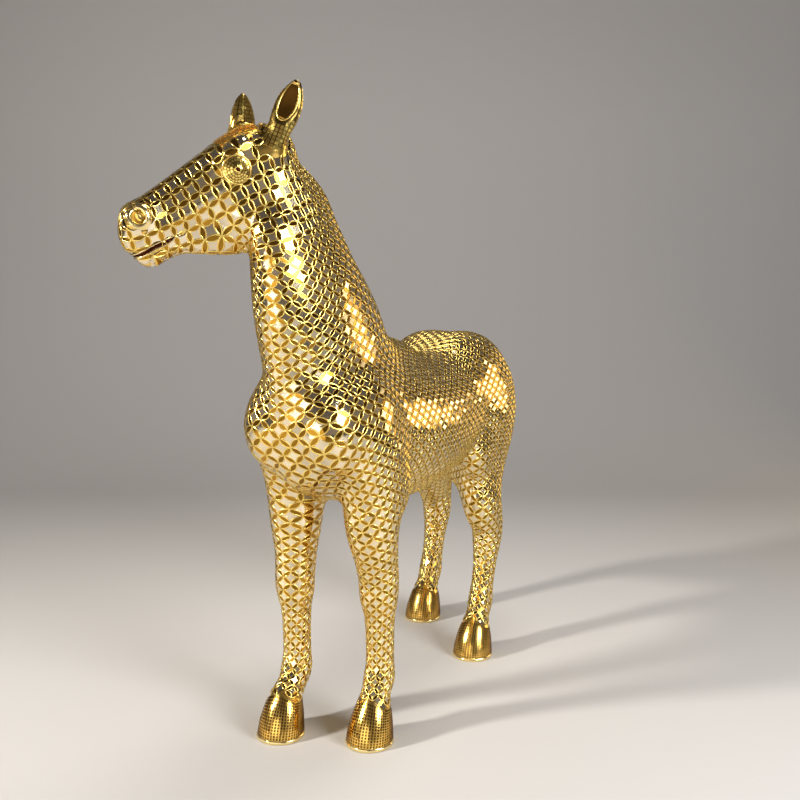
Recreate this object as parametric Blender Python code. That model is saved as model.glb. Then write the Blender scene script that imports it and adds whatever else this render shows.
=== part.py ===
# Life-size standing horse statue: one hollow-cast glass-fibre figure, modelled as one solid.
#
# The horse faces -Y, its own left side is +X, and it stands on z = 0. It is modelled like clay:
# limbs, muscles and hollows are added to and taken from a field that is negative inside the figure,
# the field's zero surface is meshed, smoothed and thinned, and the hooves are cut flat on the floor.
# Every length is a share of the figure's own height, so the whole pose follows STATUE_HEIGHT.

import math

import bmesh
import bpy
import numpy as np
from mathutils import Matrix, Vector

# Driving sizes, in metres
STATUE_HEIGHT = 2.155  # floor to the tip of the left ear
HOOF_LENGTH = 0.168
HOOF_WIDTH = 0.164
HOOF_HEIGHT = 0.140
EAR_TURN = 65.0  # degrees that each ear's open face turns outwards from the nose
LEFT_EAR_LEAN = 22.0  # degrees that each ear's tip leans back and outwards
RIGHT_EAR_LEAN = 1.0

# How finely the clay is worked
CELL_SHARE = 0.0040  # grid cell, as a share of the statue's height
SMOOTH_PASSES = 2
TRIANGLE_TARGET = 9400

MODELLED_HEIGHT = 2.155  # the height at which the lengths below were written down
U = STATUE_HEIGHT / MODELLED_HEIGHT  # one figure unit, in metres
CELL = CELL_SHARE * STATUE_HEIGHT
FAR = 1.0


def clear_scene():
    for obj in list(bpy.data.objects):
        bpy.data.objects.remove(obj)


class Clay:
    """A grid of signed distances that forms are added to and carved from."""

    def __init__(self, low, high):
        self.low = np.array(low, float) * U
        count = np.ceil((np.array(high) * U - self.low) / CELL).astype(int) + 1
        self.field = np.full(count, FAR, np.float32)

    def window(self, low, high):
        """Slices of the grid between two corners, and the coordinates of its points."""
        start = np.clip(np.floor((low - self.low) / CELL).astype(int), 0, self.field.shape)
        stop = np.clip(np.ceil((high - self.low) / CELL).astype(int) + 1, 0, self.field.shape)
        axes = [self.low[i] + CELL * np.arange(start[i], stop[i]) for i in range(3)]
        grids = np.meshgrid(*axes, indexing="ij", sparse=True)
        return tuple(slice(a, b) for a, b in zip(start, stop)), [g.astype(np.float32) for g in grids]

    def add(self, part, shape, blend):
        old = self.field[part]
        h = np.clip(0.5 + 0.5 * (old - shape) / blend, 0, 1)
        self.field[part] = old + (shape - old) * h - blend * h * (1 - h)

    def carve(self, part, shape, blend):
        old = self.field[part]
        h = np.clip(0.5 - 0.5 * (old + shape) / blend, 0, 1)
        self.field[part] = old + (-shape - old) * h + blend * h * (1 - h)

    def settle(self):
        """Evens out the field, so that no wall or gap in it is thinner than the grid can hold."""
        field = np.clip(self.field, -6 * CELL, 6 * CELL)
        for axis in range(3):
            ahead = np.roll(field, 1, axis)
            behind = np.roll(field, -1, axis)
            field = 0.5 * field + 0.25 * (ahead + behind)
        self.field = field
        while self.close_corners():
            pass

    def close_corners(self):
        """Joins places where the figure would touch itself along one grid edge. Returns how many."""
        closed = 0
        for axis in range(3):
            first, second = [i for i in range(3) if i != axis]

            def corner(i, j):
                part = [slice(None)] * 3
                part[first] = slice(i, self.field.shape[first] - 1 + i)
                part[second] = slice(j, self.field.shape[second] - 1 + j)
                return self.field[tuple(part)]

            near, far, left, right = corner(0, 0), corner(1, 1), corner(0, 1), corner(1, 0)
            crossed = (near < 0) & (far < 0) & (left >= 0) & (right >= 0)
            left[crossed] = -0.05 * CELL
            closed += crossed.sum()
            crossed = (left < 0) & (right < 0) & (near >= 0) & (far >= 0)
            near[crossed] = -0.05 * CELL
            closed += crossed.sum()
        return closed

    def mesh(self):
        """Points and quads of the zero surface: one point in each cell that the surface crosses."""
        field = self.field
        inside = field < 0
        cells = tuple(n - 1 for n in field.shape)
        corners = [(i, j, k) for i in (0, 1) for j in (0, 1) for k in (0, 1)]

        def at(array, corner):
            return array[tuple(slice(c, c + n) for c, n in zip(corner, cells))]

        filled = sum(at(inside, c).astype(np.uint8) for c in corners)
        active = (filled > 0) & (filled < 8)
        index = np.full(cells, -1, np.int64)
        index[active] = np.arange(active.sum())
        values = {c: at(field, c)[active] for c in corners}
        total = np.zeros((int(active.sum()), 3))
        crossings = np.zeros(len(total))
        for a in corners:
            for axis in range(3):
                if a[axis]:
                    continue
                b = tuple(1 if i == axis else a[i] for i in range(3))
                fa, fb = values[a], values[b]
                cross = (fa < 0) != (fb < 0)
                share = np.where(cross, fa / np.where(cross, fa - fb, 1), 0)
                for i in range(3):
                    total[:, i] += np.where(cross, a[i] + (share if i == axis else 0), 0)
                crossings += cross
        points = np.argwhere(active) + total / crossings[:, None]
        quads = []
        for axis in range(3):
            first, second = (axis + 1) % 3, (axis + 2) % 3
            near = [slice(1, -1)] * 3
            near[axis] = slice(0, -1)
            far = list(near)
            far[axis] = slice(1, None)
            here, there = inside[tuple(near)], inside[tuple(far)]
            for solid_first in (True, False):
                edges = np.argwhere(here & ~there if solid_first else ~here & there)
                edges[:, first] += 1
                edges[:, second] += 1
                ring = []
                for back_first, back_second in ((1, 1), (0, 1), (0, 0), (1, 0)):
                    cell = edges.copy()
                    cell[:, first] -= back_first
                    cell[:, second] -= back_second
                    ring.append(index[tuple(cell.T)])
                if not solid_first:
                    ring.reverse()
                quads.append(np.stack(ring, 1))
        return self.low + points * CELL, np.concatenate(quads)


def blob_distance(offsets, radii):
    """Approximate distance to an ellipsoid, from offsets along its own three axes."""
    k0 = np.sqrt(sum((q / r) ** 2 for q, r in zip(offsets, radii)))
    k1 = np.sqrt(sum((q / (r * r)) ** 2 for q, r in zip(offsets, radii)))
    return k0 * (k0 - 1) / np.maximum(k1, 1e-6)


def turned(yaw=0, pitch=0, roll=0):
    """A turn in degrees: roll about the form's own X, then pitch about Y, then yaw about Z."""
    return (
        Matrix.Rotation(math.radians(yaw), 4, "Z")
        @ Matrix.Rotation(math.radians(pitch), 4, "Y")
        @ Matrix.Rotation(math.radians(roll), 4, "X")
    )


WORLD = Matrix.Identity(4)


def muscle(clay, centre, radii, blend=0.03, turn=WORLD, frame=WORLD, carve=False):
    """An egg-shaped form added to the clay, or carved from it. Lengths are in figure units."""
    place = frame @ Matrix.Translation(Vector(centre) * U) @ turn
    middle = np.array(place.translation)
    rotation = np.array(place.to_3x3())
    sizes = np.array(radii, float) * U
    margin = blend * U + 2 * CELL
    reach = np.sqrt(((rotation * sizes) ** 2).sum(1)) + margin
    part, grid = clay.window(middle - reach, middle + reach)
    local = [sum(rotation[i, axis] * (grid[i] - middle[i]) for i in range(3)) for axis in range(3)]
    (clay.carve if carve else clay.add)(part, blob_distance(local, sizes), blend * U)


def smooth_stations(stations, steps):
    """Stations along a limb, with more between them on a Catmull-Rom curve."""
    rows = np.array(stations, float)
    padded = np.vstack([2 * rows[0] - rows[1], rows, 2 * rows[-1] - rows[-2]])
    out = []
    for i in range(1, len(rows)):
        a, b, c, d = padded[i - 1], padded[i], padded[i + 1], padded[i + 2]
        for t in np.arange(steps) / steps:
            out.append(
                0.5 * (2 * b + (c - a) * t + (2 * a - 5 * b + 4 * c - d) * t**2 + (3 * b - a - 3 * c + d) * t**3)
            )
    out.append(rows[-1])
    return np.array(out)


def limb(clay, stations, blend=0.03, side=(1, 0, 0), frame=WORLD, steps=5, carve=False):
    """A tapering form through stations (x, y, z, half width, half depth), with oval sections.

    Width runs along side, and depth across both side and the limb. Lengths are in figure units."""
    rows = smooth_stations(stations, steps) * U
    turn = np.array(frame.to_3x3())
    centres = rows[:, :3] @ turn.T + np.array(frame.translation)
    sizes = np.maximum(rows[:, 3:5], 0.002 * U)
    side = turn @ np.array(side, float)
    margin = sizes.max() + blend * U + 2 * CELL
    part, grid = clay.window(centres.min(0) - margin, centres.max(0) + margin)
    shape = np.full(clay.field[part].shape, FAR, np.float32)
    start = [s.start for s in part]
    for i in range(len(rows) - 1):
        a, b = centres[i], centres[i + 1]
        along = b - a
        length = np.linalg.norm(along)
        axis = along / length
        across = side - axis * (side @ axis)
        across /= np.linalg.norm(across)
        deep = np.cross(axis, across)
        reach = sizes[i : i + 2].max() + blend * U + 2 * CELL
        piece, points = clay.window(np.minimum(a, b) - reach, np.maximum(a, b) + reach)
        inner = tuple(slice(s.start - o, s.stop - o) for s, o in zip(piece, start))
        rel = [points[k] - a[k] for k in range(3)]
        run = sum(axis[k] * rel[k] for k in range(3))
        share = np.clip(run / length, 0, 1)
        width = sizes[i, 0] + share * (sizes[i + 1, 0] - sizes[i, 0])
        depth = sizes[i, 1] + share * (sizes[i + 1, 1] - sizes[i, 1])
        offsets = [
            sum(across[k] * rel[k] for k in range(3)),
            sum(deep[k] * rel[k] for k in range(3)),
            run - share * length,
        ]
        near = blob_distance(offsets, [width, depth, np.minimum(width, depth)])
        shape[inner] = np.minimum(shape[inner], near)
    (clay.carve if carve else clay.add)(part, shape, blend * U)


# Where the figure stands: hoof centres on the floor, in figure units
FRONT_LEFT_HOOF = (0.151, -0.450)
FRONT_RIGHT_HOOF = (-0.151, -0.540)
HIND_LEFT_HOOF = (0.186, 0.404)
HIND_RIGHT_HOOF = (-0.186, 0.712)
# How far behind its hoof's centre each front leg's shin stands
FRONT_LEFT_SHIN = 0.074
FRONT_RIGHT_SHIN = 0.108

# The head's own frame: origin at the poll, X along the nose, Y to its left, Z out of the forehead
POLL = (-0.05, -0.74, 2.04)
HEAD_YAW = 45.0  # turned to the horse's right
HEAD_PITCH = 34.0  # nose below the poll
HEAD_ROLL = -10.0  # its left side lower than its right
FORWARD = -90.0  # the yaw that points X along -Y
LEFT_EAR_ROOT = (0.018, 0.070, -0.064)  # in the head's frame
RIGHT_EAR_ROOT = (0.092, -0.070, -0.076)


def head_frame():
    return Matrix.Translation(Vector(POLL) * U) @ turned(FORWARD - HEAD_YAW, HEAD_PITCH, HEAD_ROLL)


def torso(clay):
    limb(
        clay,
        [
            (0, -0.55, 1.065, 0.150, 0.180),
            (0, -0.46, 1.070, 0.195, 0.222),
            (0, -0.34, 1.065, 0.215, 0.250),
            (0, -0.15, 1.035, 0.238, 0.270),
            (0, 0.08, 1.015, 0.250, 0.266),
            (0, 0.30, 1.040, 0.242, 0.255),
            (0, 0.50, 1.095, 0.232, 0.242),
            (0, 0.68, 1.090, 0.205, 0.212),
            (0, 0.78, 1.060, 0.140, 0.150),
        ],
    )
    muscle(clay, (0, -0.12, 1.31), (0.070, 0.24, 0.060), 0.09, turned(0, 0, -6))  # withers
    for side in (1, -1):
        muscle(clay, (side * 0.100, -0.590, 1.105), (0.105, 0.130, 0.150), 0.025)  # breast
        muscle(clay, (side * 0.165, -0.440, 1.040), (0.075, 0.160, 0.220), 0.04, turned(0, 0, 18))  # shoulder
        muscle(clay, (side * 0.140, 0.600, 1.020), (0.125, 0.215, 0.250), 0.06)  # haunch
        muscle(clay, (side * 0.090, 0.520, 1.230), (0.110, 0.200, 0.110), 0.06)  # croup


def tail(clay):
    """A slim tail that hangs close behind the haunches."""
    limb(
        clay,
        [
            (0, 0.740, 1.215, 0.034, 0.034),
            (0, 0.830, 1.190, 0.040, 0.036),
            (0, 0.885, 1.110, 0.044, 0.038),
            (0, 0.905, 0.980, 0.050, 0.042),
            (0, 0.912, 0.840, 0.052, 0.042),
            (0, 0.914, 0.700, 0.044, 0.036),
            (0, 0.916, 0.600, 0.026, 0.022),
            (0, 0.918, 0.545, 0.010, 0.010),
        ],
        blend=0.025,
    )


def neck(clay):
    limb(
        clay,
        [
            (0.000, -0.410, 1.200, 0.165, 0.320),
            (0.000, -0.462, 1.340, 0.152, 0.300),
            (0.000, -0.556, 1.500, 0.138, 0.250),
            (-0.005, -0.612, 1.650, 0.114, 0.210),
            (-0.015, -0.640, 1.768, 0.094, 0.175),
            (-0.030, -0.698, 1.866, 0.076, 0.107),
            (-0.045, -0.740, 1.935, 0.076, 0.085),
        ],
        blend=0.07,
    )


def front_leg(clay, hoof, shin, side):
    x, y = hoof
    cannon = y + shin
    limb(
        clay,
        [
            (side * 0.150, -0.405, 1.00, 0.084, 0.135),
            (side * 0.150, -0.415, 0.87, 0.094, 0.118),
            (side * 0.150, -0.420, 0.75, 0.086, 0.098),
            (x, (cannon - 0.415) / 2, 0.64, 0.070, 0.080),
            (x, cannon, 0.550, 0.066, 0.070),
            (x, cannon, 0.495, 0.064, 0.067),
            (x, cannon + 0.004, 0.430, 0.050, 0.056),
            (x, cannon + 0.006, 0.340, 0.046, 0.052),
            (x, cannon + 0.006, 0.255, 0.046, 0.053),
            (x, cannon, 0.205, 0.051, 0.060),
            (x, cannon - 0.025, 0.165, 0.047, 0.052),
            (x, y + 0.040, 0.125, 0.048, 0.050),
        ],
        blend=0.04,
    )
    muscle(clay, (x, cannon - 0.026, 0.530), (0.048, 0.034, 0.058), 0.02)  # knee
    muscle(clay, (x, cannon + 0.046, 0.560), (0.022, 0.024, 0.030), 0.02)  # back of the knee
    muscle(clay, (x, cannon + 0.038, 0.200), (0.030, 0.024, 0.026), 0.015)  # ergot
    muscle(clay, (side * 0.185, -0.330, 0.860), (0.045, 0.075, 0.080), 0.05)  # elbow


def hind_leg(clay, hoof, side):
    x, y = hoof
    hip = 0.60 + 0.20 * (y - 0.55)
    limb(
        clay,
        [
            (side * 0.140, hip, 1.00, 0.112, 0.210),
            (side * 0.148, hip, 0.86, 0.100, 0.180),
            (side * 0.152, (hip + y + 0.11) / 2, 0.74, 0.090, 0.142),
            (x * 0.96, y + 0.112, 0.63, 0.074, 0.108),
            (x, y + 0.152, 0.540, 0.062, 0.084),
            (x, y + 0.155, 0.470, 0.058, 0.075),
            (x, y + 0.135, 0.380, 0.047, 0.057),
            (x, y + 0.108, 0.285, 0.044, 0.051),
            (x, y + 0.083, 0.205, 0.049, 0.058),
            (x, y + 0.058, 0.165, 0.045, 0.050),
            (x, y + 0.040, 0.125, 0.047, 0.050),
        ],
        blend=0.045,
    )
    muscle(clay, (x, y + 0.205, 0.555), (0.024, 0.028, 0.050), 0.025)  # point of the hock
    muscle(clay, (x, y + 0.122, 0.200), (0.028, 0.022, 0.026), 0.015)  # ergot
    muscle(clay, (side * 0.185, hip - 0.150, 0.860), (0.055, 0.080, 0.095), 0.05)  # stifle
    muscle(clay, (side * 0.075, 0.590, 0.800), (0.078, 0.130, 0.120), 0.05)  # inner thigh


def hoof_form(clay, hoof):
    """A bell-shaped hoof: narrow at the coronet, wide at the floor, and cut flat there later."""
    x, y = hoof
    long = HOOF_LENGTH / 2 / U
    wide = HOOF_WIDTH / 2 / U
    high = HOOF_HEIGHT / U
    stations = [
        (1.06, 0.042, 0.48),
        (0.86, 0.034, 0.68),
        (0.58, 0.020, 0.85),
        (0.28, 0.007, 0.95),
        (0.00, 0.000, 1.00),
        (-0.30, 0.000, 1.00),
    ]
    rows = [(x, y + back, high * up, wide * share, long * share) for up, back, share in stations]
    limb(clay, rows, blend=0.010)


def head(clay):
    frame = head_frame()
    side = (0, 1, 0)
    limb(  # skull and nose
        clay,
        [
            (0.020, 0, -0.088, 0.070, 0.078),
            (0.060, 0, -0.080, 0.086, 0.096),
            (0.120, 0, -0.080, 0.096, 0.104),
            (0.200, 0, -0.085, 0.086, 0.105),
            (0.285, 0, -0.080, 0.067, 0.097),
            (0.380, 0, -0.073, 0.056, 0.085),
            (0.450, 0, -0.074, 0.056, 0.081),
            (0.492, 0, -0.080, 0.048, 0.067),
        ],
        0.03,
        side,
        frame,
    )
    limb(  # lower jaw
        clay,
        [
            (0.080, 0, -0.195, 0.066, 0.092),
            (0.165, 0, -0.214, 0.064, 0.092),
            (0.250, 0, -0.207, 0.054, 0.084),
            (0.325, 0, -0.180, 0.044, 0.064),
            (0.400, 0, -0.155, 0.038, 0.038),
            (0.490, 0, -0.146, 0.036, 0.030),
        ],
        0.02,
        side,
        frame,
    )
    muscle(clay, (0.501, 0, -0.092), (0.040, 0.048, 0.048), 0.02, frame=frame)  # upper lip
    muscle(clay, (0.495, 0, -0.122), (0.046, 0.044, 0.026), 0.01, frame=frame)  # between the lips
    muscle(clay, (0.492, 0, -0.150), (0.046, 0.042, 0.030), 0.015, turned(0, -8), frame)  # chin
    for s in (1, -1):
        muscle(clay, (0.130, s * 0.058, -0.190), (0.125, 0.040, 0.122), 0.015, frame=frame)  # jowl
        muscle(clay, (0.265, s * 0.052, -0.085), (0.115, 0.018, 0.014), 0.03, turned(0, 4), frame)  # cheekbone
        muscle(clay, (0.134, s * 0.070, -0.016), (0.064, 0.026, 0.024), 0.025, turned(0, 14), frame)  # brow
        muscle(clay, (0.155, s * 0.106, -0.060), (0.054, 0.024, 0.048), 0.012, frame=frame, carve=True)
        muscle(clay, (0.155, s * 0.076, -0.060), (0.038, 0.032, 0.036), 0.004, frame=frame)  # eye
        muscle(clay, (0.462, s * 0.044, -0.028), (0.050, 0.032, 0.042), 0.020, frame=frame)  # nostril wing
        muscle(clay, (0.463, s * 0.078, -0.021), (0.021, 0.032, 0.023), 0.005, frame=frame, carve=True)
    limb(  # mouth: cut right through, and then filled again but for a groove round the lips
        clay,
        [
            (0.384, 0, -0.131, 0.060, 0.007),
            (0.462, 0, -0.124, 0.070, 0.009),
            (0.580, 0, -0.117, 0.080, 0.010),
        ],
        0.006,
        side,
        frame,
        carve=True,
    )
    limb(
        clay,
        [
            (0.374, 0, -0.131, 0.036, 0.030),
            (0.440, 0, -0.126, 0.038, 0.030),
            (0.500, 0, -0.122, 0.035, 0.030),
        ],
        0.008,
        side,
        frame,
    )


def ear(clay, side, root, lean):
    """An upright leaf-shaped ear, turned outwards, with a hollow in its open face."""
    facing = FORWARD - HEAD_YAW + side * EAR_TURN
    frame = Matrix.Translation(head_frame() @ (Vector(root) * U)) @ turned(facing, 0, -side * lean)
    limb(
        clay,
        [
            (0, 0, -0.020, 0.034, 0.034),
            (0, 0, 0.035, 0.033, 0.034),
            (0, 0, 0.085, 0.043, 0.030),
            (0, 0, 0.130, 0.044, 0.024),
            (0, 0, 0.172, 0.032, 0.017),
            (0, 0, 0.208, 0.008, 0.007),
        ],
        0.015,
        (0, 1, 0),
        frame,
    )
    limb(
        clay,
        [
            (0.034, 0, 0.086, 0.010, 0.010),
            (0.034, 0, 0.106, 0.028, 0.022),
            (0.029, 0, 0.138, 0.031, 0.022),
            (0.021, 0, 0.168, 0.019, 0.014),
            (0.012, 0, 0.194, 0.004, 0.004),
        ],
        0.005,
        (0, 1, 0),
        frame,
        carve=True,
    )


def sculpt():
    clay = Clay((-0.70, -1.35, -0.06), (0.42, 1.05, 2.30))
    torso(clay)
    tail(clay)
    neck(clay)
    head(clay)
    ear(clay, 1, LEFT_EAR_ROOT, LEFT_EAR_LEAN)
    ear(clay, -1, RIGHT_EAR_ROOT, RIGHT_EAR_LEAN)
    left = (1, FRONT_LEFT_HOOF, FRONT_LEFT_SHIN, HIND_LEFT_HOOF)
    right = (-1, FRONT_RIGHT_HOOF, FRONT_RIGHT_SHIN, HIND_RIGHT_HOOF)
    for side, front, shin, hind in (left, right):
        front_leg(clay, front, shin, side)
        hind_leg(clay, hind, side)
        hoof_form(clay, front)
        hoof_form(clay, hind)
    clay.settle()
    return clay.mesh()


def cut_on_floor(mesh):
    """Takes away what is below the floor, and closes the hooves with flat undersides."""
    bm = bmesh.new()
    bm.from_mesh(mesh)
    everything = bm.verts[:] + bm.edges[:] + bm.faces[:]
    cut = bmesh.ops.bisect_plane(
        bm, geom=everything, plane_co=(0, 0, 0), plane_no=(0, 0, 1), clear_inner=True, dist=1e-6
    )
    rims = [e for e in cut["geom_cut"] if isinstance(e, bmesh.types.BMEdge)]
    bmesh.ops.holes_fill(bm, edges=rims, sides=0)
    bmesh.ops.triangulate(bm, faces=[f for f in bm.faces if len(f.verts) > 3])
    bmesh.ops.recalc_face_normals(bm, faces=bm.faces)
    bm.to_mesh(mesh)
    bm.free()


def stand_in_middle(mesh):
    """Moves the figure sideways so that its box is centred over the origin."""
    points = np.array([v.co for v in mesh.vertices])
    middle = (points.min(0) + points.max(0)) / 2
    mesh.transform(Matrix.Translation((-middle[0], -middle[1], 0)))
    return middle


def gilding():
    material = bpy.data.materials.new("gold_mosaic")
    material.use_nodes = True
    shader = material.node_tree.nodes["Principled BSDF"]
    shader.inputs["Base Color"].default_value = (0.83, 0.62, 0.24, 1)
    shader.inputs["Metallic"].default_value = 1.0
    shader.inputs["Roughness"].default_value = 0.28
    return material


def build():
    clear_scene()
    points, quads = sculpt()
    mesh = bpy.data.meshes.new("horse")
    mesh.from_pydata(points.tolist(), [], quads.tolist())
    horse = bpy.data.objects.new("horse", mesh)
    bpy.context.scene.collection.objects.link(horse)
    soften = horse.modifiers.new("soften", "SMOOTH")
    soften.factor = 0.4
    soften.iterations = SMOOTH_PASSES
    thin = horse.modifiers.new("thin", "DECIMATE")
    thin.ratio = TRIANGLE_TARGET / (2 * len(quads))
    graph = bpy.context.evaluated_depsgraph_get()
    thinned = bpy.data.meshes.new_from_object(horse.evaluated_get(graph))
    horse.modifiers.clear()
    horse.data = thinned
    cut_on_floor(thinned)
    print("moved to the middle by", stand_in_middle(thinned))
    thinned.materials.append(gilding())
    thinned.shade_smooth()
    print(len(thinned.polygons), "faces")


build()
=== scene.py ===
# %% [markdown]
# # A life-size horse in gold mosaic
# The real figure is a hollow glass-fibre horse. Its skin is gilded, and small tiles are set into
# it in an old pattern of circles that overlap their neighbours: a pointed petal wherever two circles
# cross, and a four-cornered star in the middle of each circle. Thin rounded gold lines part them.
# This lesson dresses the plain solid horse from the CAD model with that skin, and builds:
# the gilded shell, the petals and stars, the gold lines, the hooves, the ears, the eyes,
# the nostrils and the mouth. Everything is in metres; the horse faces -Y and stands on z = 0.

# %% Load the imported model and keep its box
import math

import bmesh
import bpy
import numpy as np
from mathutils import Matrix, Vector
from mathutils.bvhtree import BVHTree


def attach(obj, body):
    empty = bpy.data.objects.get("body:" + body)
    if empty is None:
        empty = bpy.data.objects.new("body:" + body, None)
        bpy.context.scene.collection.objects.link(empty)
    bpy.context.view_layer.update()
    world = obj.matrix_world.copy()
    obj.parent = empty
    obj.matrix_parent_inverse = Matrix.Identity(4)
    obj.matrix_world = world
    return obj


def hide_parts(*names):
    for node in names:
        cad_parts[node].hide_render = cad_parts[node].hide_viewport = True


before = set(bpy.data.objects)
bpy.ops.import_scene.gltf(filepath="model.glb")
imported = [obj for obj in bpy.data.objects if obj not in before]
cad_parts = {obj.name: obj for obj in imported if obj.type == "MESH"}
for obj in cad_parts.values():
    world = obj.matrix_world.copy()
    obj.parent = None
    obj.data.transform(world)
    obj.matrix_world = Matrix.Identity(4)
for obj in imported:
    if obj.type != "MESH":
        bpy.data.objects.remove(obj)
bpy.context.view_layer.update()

# %% [markdown]
# The sculptor placed the head by one frame: its origin is at the poll, its X runs down the nose,
# Y to the horse's left and Z out of the forehead. The eyes, nostrils, mouth and ears are easiest
# to place in that frame, so it is rebuilt here from the same few values. The CAD model was centred
# on its box after it was sculpted, which is why a small shift comes first.

# %% The head's own frame
CENTRING = Vector((0.05690, 0.05497, 0.0))
POLL = Vector((-0.05, -0.74, 2.04))
HEAD_YAW = 45.0
HEAD_PITCH = 34.0
HEAD_ROLL = -10.0
FORWARD = -90.0
EAR_TURN = 65.0
EARS = {
    "left": (1, Vector((0.018, 0.070, -0.064)), 22.0),
    "right": (-1, Vector((0.092, -0.070, -0.076)), 1.0),
}
HOOVES = {
    "front_left": (0.151, -0.450),
    "front_right": (-0.151, -0.540),
    "hind_left": (0.186, 0.404),
    "hind_right": (-0.186, 0.712),
}


def turned(yaw=0, pitch=0, roll=0):
    """A turn in degrees: roll about X, then pitch about Y, then yaw about Z."""
    return (
        Matrix.Rotation(math.radians(yaw), 4, "Z")
        @ Matrix.Rotation(math.radians(pitch), 4, "Y")
        @ Matrix.Rotation(math.radians(roll), 4, "X")
    )


head_frame = Matrix.Translation(CENTRING + POLL) @ turned(FORWARD - HEAD_YAW, HEAD_PITCH, HEAD_ROLL)


def ear_frame(side, root, lean):
    facing = FORWARD - HEAD_YAW + side * EAR_TURN
    return Matrix.Translation(head_frame @ root) @ turned(facing, 0, -side * lean)


ears = [ear_frame(side, root, lean) for side, root, lean in EARS.values()]
print("muzzle at", tuple(round(v, 3) for v in head_frame @ Vector((0.5, 0, -0.09))))

# %% [markdown]
# The camera stands where the photographer stood: at eye level, a little to the horse's left of
# its front, about three metres away. The place came from fitting the horse's outline to the picture.

# %% Camera
camera_data = bpy.data.cameras.new("camera")
camera_data.sensor_width = 36.0
camera_data.lens = 43.2
camera_data.clip_start = 0.05
camera = bpy.data.objects.new("camera", camera_data)
camera.location = Vector((1.61542, -3.18925, 1.61013)) + CENTRING
camera.rotation_euler = (math.radians(90 - 7.829), 0.0, math.radians(26.203))
bpy.context.scene.collection.objects.link(camera)
bpy.context.scene.camera = camera
print("camera at", tuple(round(v, 3) for v in camera.location))

# %% [markdown]
# Gold in three moods. The lines between the tiles are bright yellow gold with a soft polish. The
# petals are mirror glass over dark amber gold, so they go almost brown where they reflect shade
# and orange where they reflect light. The stars are pale white gold. Each tile also carries a
# number called `tone`, and the shader uses it to make every tile a little lighter or darker.

# %% Metal materials


def add_node(tree, kind, values=None, feeds=None, **settings):
    """A new node: its settings first, then the values of some inputs and what feeds the others."""
    made = tree.nodes.new(kind)
    for field, value in settings.items():
        setattr(made, field, value)
    for name, value in (values or {}).items():
        made.inputs[name].default_value = value
    for name, source in (feeds or {}).items():
        tree.links.new(source, made.inputs[name])
    return made


def add_range(tree, source, limits, **settings):
    made = add_node(tree, "ShaderNodeMapRange", limits, {"Value": source}, **settings)
    return made.outputs["Result"]


def metal(name, colour, roughness, tone_spread=0.0, wear=0.04, bump=0.0, grain=60.0):
    """A polished metal: small changes of tone from tile to tile, and fine uneven polish."""
    material = bpy.data.materials.new(name)
    material.use_nodes = True
    tree = material.node_tree
    shader = tree.nodes["Principled BSDF"].inputs
    shader["Metallic"].default_value = 1.0
    place = add_node(tree, "ShaderNodeTexCoord").outputs["Object"]
    noise = add_node(tree, "ShaderNodeTexNoise", {"Scale": grain, "Detail": 3.0}, {"Vector": place})
    grainy = noise.outputs["Fac"]
    polish = {"To Min": max(roughness - wear, 0.02), "To Max": roughness + wear}
    tree.links.new(add_range(tree, grainy, polish), shader["Roughness"])
    tone = add_node(tree, "ShaderNodeAttribute", attribute_name="tone").outputs["Fac"]
    shade = add_range(tree, tone, {"To Min": 1.0 - tone_spread, "To Max": 1.0 + tone_spread})
    mix = {"Factor": 1.0, "A": (*colour, 1)}
    multiply = {"data_type": "RGBA", "blend_type": "MULTIPLY"}
    tint = add_node(tree, "ShaderNodeMix", mix, {"B": shade}, **multiply)
    tree.links.new(tint.outputs["Result"], shader["Base Color"])
    if bump:
        depth = {"Strength": bump, "Distance": 0.002}
        relief = add_node(tree, "ShaderNodeBump", depth, {"Height": grainy})
        tree.links.new(relief.outputs["Normal"], shader["Normal"])
    return material


gilding = metal("gilded shell", (0.57, 0.385, 0.10), 0.22, tone_spread=0.62, grain=40.0, bump=0.08)
line_gold = metal("gold lines", (1.00, 0.70, 0.19), 0.27, tone_spread=0.08)
small_gold = metal("small gold tiles", (0.95, 0.67, 0.18), 0.18, tone_spread=0.22)
petal_gold = metal("amber petals", (0.40, 0.205, 0.022), 0.10, tone_spread=0.35, grain=25.0, bump=0.04)
star_gold = metal("pale stars", (0.90, 0.77, 0.54), 0.11, tone_spread=0.18, grain=25.0, bump=0.04)
hoof_amber = metal("amber hoof bricks", (0.25, 0.12, 0.012), 0.18, tone_spread=0.40)
rim_gold = metal("pale gold rims", (0.98, 0.78, 0.36), 0.20, grain=30.0, bump=0.06)
ear_bronze = metal("ear bronze", (0.40, 0.20, 0.035), 0.24, grain=30.0, bump=0.10)
# Dark pupils, and the painted shade inside the mouth's slit.
mouth_dark = metal("dark pupils and painted mouth shade", (0.060, 0.012, 0.006), 0.35)
print(len(bpy.data.materials), "materials")

# %% [markdown]
# Tiles must lie on a smooth surface. The CAD solid is faceted, so a copy of it is rebuilt in small
# even cells (Remesh, voxel mode) and smoothed. That copy is the gilded shell, and it also serves as
# the surface that every tile is laid on. Its normals are kept as an attribute for the tile tree.

# %% The gilded shell
SHELL_CELL, SHELL_PASSES = 0.009, 6


def finished_mesh(obj):
    """Turns an object's modifiers into plain mesh."""
    graph = bpy.context.evaluated_depsgraph_get()
    mesh = bpy.data.meshes.new_from_object(obj.evaluated_get(graph))
    obj.modifiers.clear()
    obj.data = mesh
    return mesh


def new_object(name, mesh):
    obj = bpy.data.objects.new(name, mesh)
    bpy.context.scene.collection.objects.link(obj)
    return obj


def new_mesh(name, points, faces=()):
    mesh = bpy.data.meshes.new(name)
    mesh.from_pydata([tuple(p) for p in points], [], faces)
    return mesh


def array_of(mesh, field="co"):
    values = np.empty(len(mesh.vertices) * 3, np.float32)
    mesh.vertices.foreach_get(field, values)
    return values.reshape(-1, 3).astype(float)


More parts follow.
